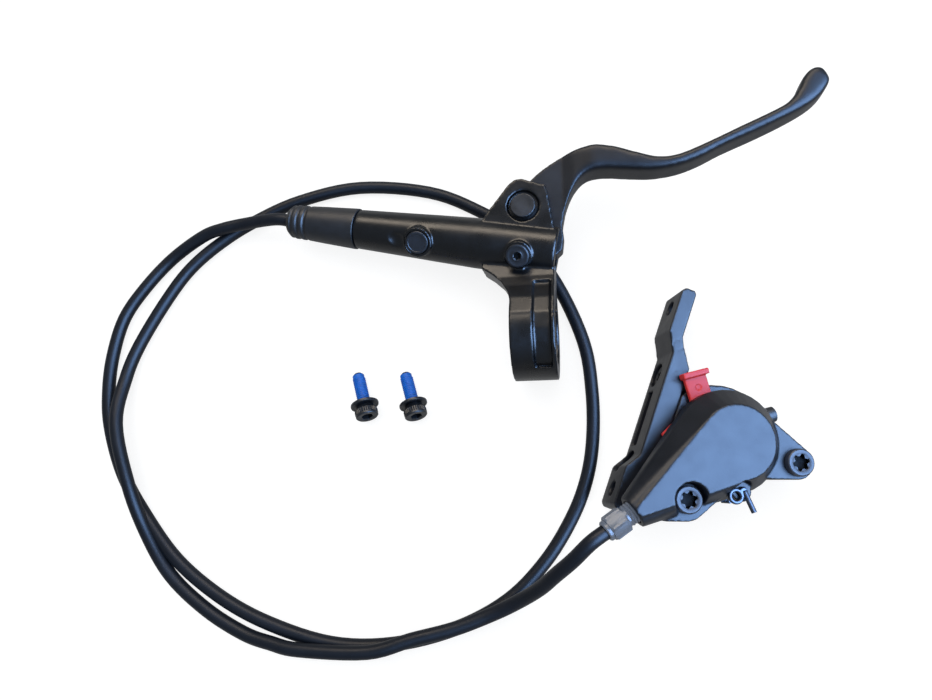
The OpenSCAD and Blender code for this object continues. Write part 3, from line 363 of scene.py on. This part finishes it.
# Rounds a part of a skin much more: weight(point) is 0 where it stays crisp and 1 where round.
# The section shrinks as it rounds, so it is swollen again by the stated millimetres.
def round_over(piece, weight, rounds, swell):
    group = piece.vertex_groups.new(name="round")
    for vertex in piece.data.vertices:
        group.add([vertex.index], weight(vertex.co), "REPLACE")
    soften = piece.modifiers.new("round_over", "SMOOTH")
    soften.factor = 0.5
    soften.iterations = rounds
    soften.vertex_group = "round"
    fill = piece.modifiers.new("fill", "DISPLACE")
    fill.mid_level = 0
    fill.strength = swell / 1000
    fill.vertex_group = "round"
    settle(piece)
    piece.vertex_groups.clear()


# The finger part of the blade is round in section, and its hub is crisp. The two numbers
# are millimetres along the bar, between which the one becomes the other.
BAR_BACK = BAR.inverted()
HUB_ENDS = 13
FINGER_STARTS = 23


def blade_weight(point):
    along = (BAR_BACK @ point).x * 1000
    return min(1, max(0, (along - HUB_ENDS) / (FINGER_STARTS - HUB_ENDS)))


cast_skin("lever_body", "brake", ENAMEL, 0.37, 9)
cast_skin("brake_lever", "lever", ANODISED, 0.38, 6,
          (blade_weight, 110, 0.45))
cast_skin("caliper_outer", "brake", CASTING, 0.38, 5)
cast_skin("caliper_inner", "brake", CASTING, 0.42, 5)
cast_skin("adapter_plate", "brake", CASTING, 0.38, 4)
cast_skin("pad_spacer", "brake", RED, 0.28, 3)
cast_skin("hose_boot", "brake", RUBBER, 0.24, 3)
cast_skin("pivot_pin", "brake", OXIDE, 0.16, 4)
cast_skin("pad_axle", "brake", STEEL, 0.13, 3)
cast_skin("bleed_nipple", "brake", NICKEL, 0.13, 3)
cast_skin("nipple_cap", "brake", RUBBER, 0.13, 4)


# How deep the six lobes of a recess are cut, as a part of its radius
LOBE_DEPTH = 0.17
# Edges of a turned shape that bend by more than this stay crisp
SHARP_ANGLE = math.radians(32)


# Fittings are turned shapes: rings of points from one end to the other, each given as
# (height, radius, form) in millimetres. The form says how the radius changes round a ring.
def ring_radius(form, radius, angle):
    if form == "hex":
        span = math.radians(60)
        return radius / math.cos((angle + span / 2) % span - span / 2)
    if form == "star":
        return radius * (1 + LOBE_DEPTH * math.cos(6 * angle))
    return radius


# Closed shape from rings. Ends of radius 0 close in a point; hollow joins the last ring
# to the first, for a washer or a nut.
def turned_mesh(name, rings, sides=72, hollow=False):
    work = bmesh.new()
    rows = []
    for height, radius, form in rings:
        if radius == 0:
            rows.append([work.verts.new(mm(0, 0, height))])
            continue
        row = []
        for i in range(sides):
            angle = 2 * math.pi * i / sides
            out = ring_radius(form, radius, angle)
            row.append(work.verts.new(mm(out * math.cos(angle), out * math.sin(angle), height)))
        rows.append(row)
    pairs = list(zip(rows, rows[1:]))
    if hollow:
        pairs.append((rows[-1], rows[0]))
    for lower, upper in pairs:
        for i in range(sides):
            j = (i + 1) % sides
            if len(lower) == 1:
                work.faces.new((lower[0], upper[j], upper[i]))
            elif len(upper) == 1:
                work.faces.new((lower[i], lower[j], upper[0]))
            else:
                work.faces.new((lower[i], lower[j], upper[j], upper[i]))
    bmesh.ops.recalc_face_normals(work, faces=work.faces)
    for face in work.faces:
        face.smooth = True
    mesh = bpy.data.meshes.new(name)
    work.to_mesh(mesh)
    work.free()
    mesh.set_sharp_from_angle(angle=SHARP_ANGLE)
    return mesh


# Puts a turned mesh in its place on the brake and hides the solid it stands for. Faces within
# the dark radius and heights, in millimetres, take a rough black: painted shade in a screw's
# recess, and the bare black of a blue bolt's tip.
def fit(name, mesh, place, finish, node=None, dark=None):
    mesh.materials.clear()
    mesh.materials.append(finish)
    if dark:
        mesh.materials.append(RECESS_SHADE_AND_BARE_TIP)
        radius, low, high = (number / 1000 for number in dark)
        for face in mesh.polygons:
            middle = face.center
            if math.hypot(middle.x, middle.y) < radius and low < middle.z < high:
                face.material_index = 1
    mesh.transform(place)
    piece = link(bpy.data.objects.new(name, mesh))
    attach(piece, "brake")
    if node:
        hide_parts(node)


# Sets a named input of a Geometry Nodes modifier by its socket's identifier
def give(modifier, **values):
    for item in modifier.node_group.interface.items_tree:
        if item.item_type == "SOCKET" and item.in_out == "INPUT":
            name = item.name.replace(" ", "_")
            if name in values:
                modifier[item.identifier] = values[name]


# A Geometry Nodes tree with geometry in and out, and the named inputs
def new_tree(name, inputs):
    tree = bpy.data.node_groups.new(name, "GeometryNodeTree")
    tree.interface.new_socket("Geometry", in_out="OUTPUT", socket_type="NodeSocketGeometry")
    tree.interface.new_socket("Geometry", in_out="INPUT", socket_type="NodeSocketGeometry")
    for label, kind in inputs.items():
        tree.interface.new_socket(label, in_out="INPUT", socket_type="NodeSocket" + kind)
    return tree, add(tree, "NodeGroupInput")


# Joins what a tree makes to the blank, and closes the tree
def close_tree(tree, given, extra):
    joined = add(tree, "GeometryNodeJoinGeometry")
    tree.links.new(extra, joined.inputs[0])
    tree.links.new(given.outputs["Geometry"], joined.inputs[0])
    real = add(tree, "GeometryNodeRealizeInstances", Geometry=(joined, "Geometry"))
    painted = add(tree, "GeometryNodeSetMaterial", Geometry=(real, "Geometry"),
                  Material=(given, "Finish"))
    end = add(tree, "NodeGroupOutput")
    tree.links.new(painted.outputs["Geometry"], end.inputs[0])
    return tree


# Rolled thread: a ridge that winds down the shank from height 0
def thread_tree():
    tree, given = new_tree("rolled_thread", {"Radius": "Float", "Length": "Float",
                                             "Pitch": "Float", "Ridge": "Float",
                                             "Finish": "Material"})
    turns = add(tree, "ShaderNodeMath", {"operation": "DIVIDE"})
    tree.links.new(given.outputs["Length"], turns.inputs[0])
    tree.links.new(given.outputs["Pitch"], turns.inputs[1])
    helix = add(tree, "GeometryNodeCurveSpiral", Resolution=36, Rotations=(turns, "Value"),
                Start_Radius=(given, "Radius"), End_Radius=(given, "Radius"),
                Height=(given, "Length"))
    upright = add(tree, "GeometryNodeSetCurveNormal", {"mode": "Z_UP"}, Curve=(helix, "Curve"))
    section = add(tree, "GeometryNodeCurvePrimitiveCircle", Resolution=4,
                  Radius=(given, "Ridge"))
    ridge = add(tree, "GeometryNodeCurveToMesh", Curve=(upright, "Curve"),
                Profile_Curve=(section, "Curve"), Fill_Caps=True)
    down = add(tree, "ShaderNodeMath", {"operation": "MULTIPLY"})
    tree.links.new(given.outputs["Length"], down.inputs[0])
    down.inputs[1].default_value = -1
    shift = add(tree, "ShaderNodeCombineXYZ", Z=(down, "Value"))
    lowered = add(tree, "GeometryNodeTransform", Geometry=(ridge, "Mesh"),
                  Translation=(shift, "Vector"))
    return close_tree(tree, given, lowered.outputs["Geometry"])


# Knurl: upright teeth round a screw's head
def knurl_tree():
    tree, given = new_tree("straight_knurl", {"Teeth": "Int", "Radius": "Float",
                                              "Middle": "Float", "Height": "Float",
                                              "Tooth": "Float", "Finish": "Material"})
    around = add(tree, "GeometryNodeMeshCircle", Vertices=(given, "Teeth"),
                 Radius=(given, "Radius"))
    spot = add(tree, "GeometryNodeInputPosition")
    facing = add(tree, "FunctionNodeAlignRotationToVector", {"axis": "X", "pivot_axis": "Z"},
                 Vector=(spot, "Position"))
    tooth = add(tree, "GeometryNodeMeshCylinder", Vertices=4, Radius=(given, "Tooth"),
                Depth=(given, "Height"))
    teeth = add(tree, "GeometryNodeInstanceOnPoints", Points=(around, "Mesh"),
                Instance=(tooth, "Mesh"), Rotation=(facing, "Rotation"))
    rise = add(tree, "ShaderNodeCombineXYZ", Z=(given, "Middle"))
    raised = add(tree, "GeometryNodeTransform", Geometry=(teeth, "Instances"),
                 Translation=(rise, "Vector"))
    return close_tree(tree, given, raised.outputs["Geometry"])


THREAD = thread_tree()
KNURL = knurl_tree()


# The mesh with what the tree adds to it
def grown(mesh, tree, **values):
    blank = link(bpy.data.objects.new(mesh.name + "_blank", mesh))
    nodes = blank.modifiers.new("grown", "NODES")
    nodes.node_group = tree
    give(nodes, **values)
    settle(blank)
    made = blank.data
    bpy.data.objects.remove(blank)
    return made


# Socket screw's head, from under the head up, and into its hexagon
def cap_head(radius, height, key, neck):
    half = key / 2
    return [(0, 0, "round"), (0, neck - 0.15, "round"), (0.15, neck, "round"),
            (height * 0.36, radius - 0.35, "round"), (height * 0.4, radius - 0.12, "round"),
            (height * 0.78, radius - 0.12, "round"), (height * 0.8, radius, "round"),
            (height - 0.35, radius, "round"), (height, radius - 0.35, "round"),
            (height, half * 1.28, "round"), (height - 0.3, half, "hex"),
            (height * 0.36, half, "hex"), (height * 0.34, 0, "round")]


# Socket screw. Its length, the head's radius and height, the key's width and the radius
# below the head are in millimetres. A blue one has a cut thread in a locking patch.
def cap_screw(name, node, place, length, radius, height, key, neck, blue=False):
    head = turned_mesh(name + "_head", cap_head(radius, height, key, neck))
    head = grown(head, KNURL, Teeth=34, Radius=(radius - 0.14) / 1000,
                 Middle=height * 0.59 / 1000, Height=height * 0.36 / 1000, Tooth=0.00022,
                 Finish=OXIDE)
    # Faces inside the hexagon socket take painted shade
    fit(name + "_head", head, place, OXIDE, node,
        (key * 0.6, height * 0.3, height - 0.2))
    finish = BLUE if blue else OXIDE
    core = 2.26 if blue else 2.42
    shank = turned_mesh(name + "_shank", [
        (-length, 0, "round"), (-length, core - 0.75, "round"), (-length + 0.8, core, "round"),
        (0.05, core, "round"), (0.05, 0, "round")], 40)
    if blue:
        shank = grown(shank, THREAD, Radius=0.00222, Length=(length - 2.1) / 1000,
                      Pitch=0.0008, Ridge=0.00027, Finish=finish)
    fit(name + "_shank", shank, place, finish,
        dark=(9, -length - 1, -length + 0.9) if blue else None)


# Loose mounting bolts with their washers, each lying on its tip and its washer's rim
WASHER_RADIUS = 5.4
TIP_RADIUS = 2.5
RIM_TO_TIP = 13
SINK = math.degrees(math.asin((WASHER_RADIUS - TIP_RADIUS) / RIM_TO_TIP))


def loose_bolt(letter, x, y):
    lying = Matrix.Translation(mm(x, y, 0)) @ turned("Z", 17)
    lying = lying @ Matrix.Translation(mm(0, 0, TIP_RADIUS)) @ turned("X", -90 - SINK)
    lying = lying @ Matrix.Translation(mm(0, 0, -RIM_TO_TIP)) @ turned("Y", 180)
    bolt = lying @ Matrix.Translation(mm(0, 0, 1.2))
    cap_screw("mounting_bolt_" + letter, "mounting_bolt_" + letter, bolt, 14.2, 4.3, 4.6, 4,
              3.3, True)
    washer = turned_mesh("washer_" + letter, [
        (-1.2, 2.6, "round"), (-1.2, 5.1, "round"), (-1.05, 5.33, "round"),
        (-0.6, WASHER_RADIUS, "round"),
        (-0.15, 5.33, "round"), (0, 5.1, "round"), (0, 4.6, "round"), (-0.18, 4.4, "round"),
        (-0.18, 2.6, "round")], 72, True)
    fit("mounting_washer_" + letter, washer, bolt, OXIDE,
        "mounting_washer_" + letter)


loose_bolt("a", -74, -19.3)
loose_bolt("b", -55.2, -19.4)

# Screws that stay in their places: two below the adapter plate, one through the clamp
for side, which in ((1, "upper"), (-1, "lower")):
    place = PLATE @ Matrix.Translation(mm(7.5, -7 + 17 * side, -3)) @ turned("Y", -90)
    cap_screw("adapter_screw_" + which, "adapter_bolt_" + which, place, 13.4, 4.2, 2.8, 4, 4)
place = BAR @ turned("X", -25) @ Matrix.Translation(mm(0.5, 18.9, -5.4)) @ turned("X", 180)
cap_screw("clamp_screw", "clamp_bolt", place, 10.2, 4, 3, 4, 3.8)

# Body bolts of the caliper, with six-lobed recesses
for side, which in ((-1, "front"), (1, "rear")):
    place = HEAD @ Matrix.Translation(mm(-1.1 + 20.1 * side, 0.95 * side - 13.2, 10.4))
    star = turned_mesh("star_bolt_" + which, [
        (-15.6, 0, "round"), (-15.6, 2, "round"), (-15.1, 2.5, "round"), (0, 2.5, "round"),
        (0, 4.35, "round"), (0.25, 4.6, "round"), (1.9, 4.6, "round"), (2.35, 4.45, "round"),
        (2.6, 4.1, "round"), (2.6, 3.2, "round"), (2.4, 2.85, "round"), (2.3, 2.5, "star"),
        (0.4, 2.4, "star"), (0.3, 0, "round")], 96)
    # Faces inside the six-lobed recess take painted shade
    fit("star_bolt_" + which, star, place, GREY_ZINC, "body_bolt_" + which,
        (2.9, 0.1, 2.28))


# Ports on the master cylinder, with z outwards from the bore's axis. The distances are
# along the bore, in millimetres.
BLEED_AT = 13.1
PLUG_AT = 51.5


def port_place(distance):
    return BORE @ Matrix.Translation(mm(-distance, 0, 0)) @ turned("X", 30)


bleed_head = turned_mesh("bleed_head", [
    (7, 0, "round"), (7, 1.8, "round"), (7.2, 2, "round"), (10.1, 2, "round"),
    (10.1, 2.8, "round"), (10.6, 2.8, "round"), (10.6, 4.05, "round"), (10.75, 4.3, "round"),
    (11.6, 4.3, "round"), (11.9, 4.18, "round"), (12.08, 3.9, "round"), (12.1, 3.5, "round"),
    (12.02, 3.2, "round"), (12.02, 1.9, "round"), (12.1, 1.75, "round"), (12.05, 1.5, "round"),
    (11.85, 1.25, "hex"), (10.8, 1.25, "hex"), (10.7, 0, "round")], 72)
# Faces inside the bleed screw's hexagon take painted shade
fit("bleed_screw_head", bleed_head, port_place(BLEED_AT), ACETAL, "bleed_screw",
    (1.4, 10.6, 11.8))
plug = turned_mesh("plug", [
    (8.3, 0, "round"), (8.3, 4.1, "round"), (8.5, 4.3, "round"), (10.05, 4.3, "round"),
    (10.3, 4.1, "round"), (10.4, 3.75, "round"), (10.38, 3.45, "round"), (10.24, 3.3, "round"),
    (10.2, 2.6, "round"), (10.22, 0, "round")], 72)
fit("reservoir_plug_cap", plug, port_place(PLUG_AT), ACETAL,
    "reservoir_plug")

# Hose nut of the caliper: thread, neck, hexagon with turned chamfers, and its collar
nut_turn = Matrix((NUT_OUT.cross(Vector((0, 0, 1))), Vector((0, 0, 1)), NUT_OUT))
nut_place = HEAD @ Matrix.Translation(PORT_FACE) @ nut_turn.transposed().to_4x4()
nut = turned_mesh("hose_nut", [
    (-6, 2.6, "round"), (-6, 3.4, "round"), (-5.6, 3.75, "round"), (-0.2, 3.75, "round")]
    + [(0.3 + 0.5 * i, 3.4 + 0.35 * (i % 2), "round") for i in range(5)] + [
    (2.6, 3.4, "round"), (3.1, 3.4, "round"), (3.15, 3.95, "round"), (3.6, 4.0, "hex"),
    (8.9, 4.0, "hex"), (9.4, 4.0, "round"), (9.5, 3.5, "round"), (10.5, 3.5, "round"),
    (10.9, 3.15, "round"), (10.9, 2.6, "round")], 72, True)
fit("caliper_nut", nut, nut_place, NUT_STEEL, "caliper_hose_nut")


# Table, lamps and the pale surround. The table shows white to the camera and a little
# darker in reflections, and it is a plain pale surface to the light that it bounces.
TABLE_HALF = 4
GLOW_SEEN = 0.84
GLOW_REFLECTED = 0.3


def make_table():
    mesh = bpy.data.meshes.new("white_table")
    corners = ((-1, -1), (1, -1), (1, 1), (-1, 1))
    mesh.from_pydata([(TABLE_HALF * x, TABLE_HALF * y, 0) for x, y in corners], [],
                     [(0, 1, 2, 3)])
    table = link(bpy.data.objects.new("white_table", mesh))
    material = bpy.data.materials.new("white_table_top")
    material.use_nodes = True
    tree = material.node_tree
    tree.nodes.clear()
    ray = add(tree, "ShaderNodeLightPath")
    lit = add(tree, "ShaderNodeBsdfDiffuse", Color=(0.3, 0.3, 0.3, 1))
    level = add(tree, "ShaderNodeMapRange", Value=(ray, "Is Glossy Ray"))
    level.inputs["To Min"].default_value = GLOW_SEEN
    level.inputs["To Max"].default_value = GLOW_REFLECTED
    glow = add(tree, "ShaderNodeEmission", Color=(1, 1, 1, 1), Strength=(level, "Result"))
    both = add(tree, "ShaderNodeAddShader")
    tree.links.new(lit.outputs[0], both.inputs[0])
    tree.links.new(glow.outputs[0], both.inputs[1])
    seen = add(tree, "ShaderNodeMath", {"operation": "MAXIMUM"})
    tree.links.new(ray.outputs["Is Camera Ray"], seen.inputs[0])
    tree.links.new(ray.outputs["Is Glossy Ray"], seen.inputs[1])
    shown = add(tree, "ShaderNodeMath", {"operation": "MAXIMUM"})
    tree.links.new(seen.outputs[0], shown.inputs[0])
    tree.links.new(ray.outputs["Is Transmission Ray"], shown.inputs[1])
    plain = add(tree, "ShaderNodeBsdfDiffuse", Color=(0.8, 0.8, 0.8, 1))
    mix = add(tree, "ShaderNodeMixShader")
    tree.links.new(shown.outputs[0], mix.inputs[0])
    tree.links.new(plain.outputs[0], mix.inputs[1])
    tree.links.new(both.outputs[0], mix.inputs[2])
    out = add(tree, "ShaderNodeOutputMaterial")
    tree.links.new(mix.outputs[0], out.inputs["Surface"])
    mesh.materials.append(material)


# seen_in says which light the lamp gives: "gloss" for reflections alone, "matt" for the rest.
# The place, the aim and the size are in metres, the power in watts.
def lamp(name, at, aim, size, power, colour, seen_in):
    data = bpy.data.lights.new(name, "AREA")
    data.shape = "RECTANGLE"
    data.size, data.size_y = size
    data.energy = power
    data.color = colour
    light = link(bpy.data.objects.new(name, data))
    light.location = at
    light.rotation_euler = (Vector(aim) - Vector(at)).to_track_quat("-Z", "Y").to_euler()
    light.visible_diffuse = seen_in == "matt"
    light.visible_glossy = seen_in == "gloss"


make_table()
lamp("window_panel", (0.62, -0.18, 0.7), (0.06, -0.08, 0.02), (0.95, 0.95), 60,
     (0.3, 0.53, 1.0), "gloss")
lamp("warm_ceiling", (-0.1, 0.75, 0.75), (0, 0, 0), (1.0, 0.35), 9, (1.0, 0.86, 0.7), "gloss")
lamp("overhead_soft", (-0.25, 0.35, 1.1), (0, 0, 0), (1.2, 1.2), 8, (1.0, 0.99, 0.97), "matt")
lamp("side_soft", (0.9, -0.5, 0.8), (0, 0, 0), (0.8, 0.8), 3, (0.9, 0.95, 1.0), "matt")

world = bpy.data.worlds.new("pale_room")
bpy.context.scene.world = world
world.use_nodes = True
backdrop = world.node_tree.nodes["Background"]
backdrop.inputs["Color"].default_value = (0.82, 0.9, 1.0, 1)
backdrop.inputs["Strength"].default_value = 0.35
bpy.context.scene.view_settings.view_transform = "Standard"
